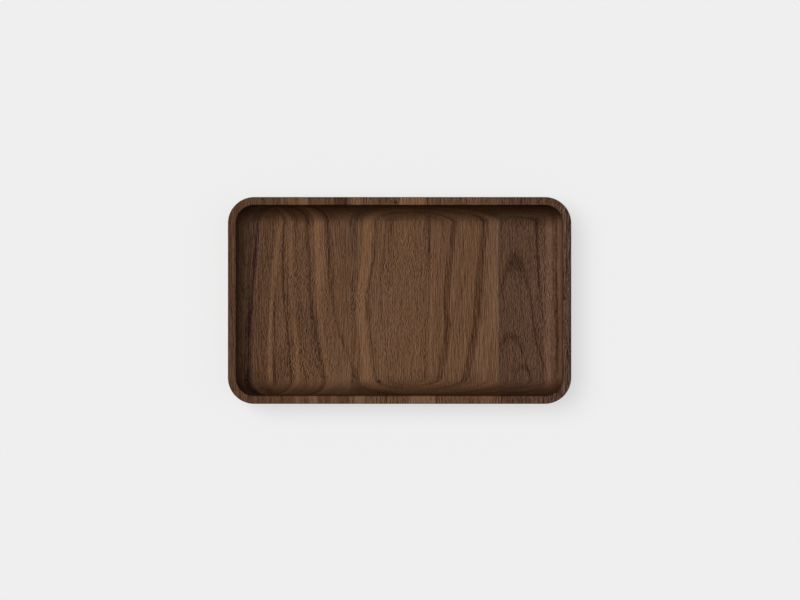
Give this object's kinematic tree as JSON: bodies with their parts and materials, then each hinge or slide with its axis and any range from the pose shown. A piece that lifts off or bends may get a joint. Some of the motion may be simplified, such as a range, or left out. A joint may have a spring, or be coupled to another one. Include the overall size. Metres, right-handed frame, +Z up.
{
  "type": "valet tray",
  "caption": "Low rounded-rectangle walnut valet tray, routed from an edge-glued blank, with a coved hollow for keys, coins and a watch, and seated rubber feet.",
  "frame": {"origin": "centre of the plane that the feet stand on, below the middle of the tray", "axes": "+X along the tray's long side, +Y along its short side and the wood's grain, +Z up"},
  "size_m": [0.254, 0.153, 0.027],
  "materials": {
    "left_walnut": "oiled satin walnut, mid brown, flat-sawn",
    "middle_walnut": "oiled satin walnut, lighter brown, flat-sawn",
    "right_walnut": "oiled satin walnut, darker red-brown, flat-sawn",
    "glue": "cured wood glue, dark amber, flush with the wood",
    "foot_rubber": "matte black rubber"
  },
  "bodies": {
    "root": {"left_stave": "left_walnut", "middle_stave": "middle_walnut", "right_stave": "right_walnut", "left_glue_line": "glue", "right_glue_line": "glue", "front_left_foot": "foot_rubber", "front_right_foot": "foot_rubber", "back_left_foot": "foot_rubber", "back_right_foot": "foot_rubber"}
  },
  "joints": []
}
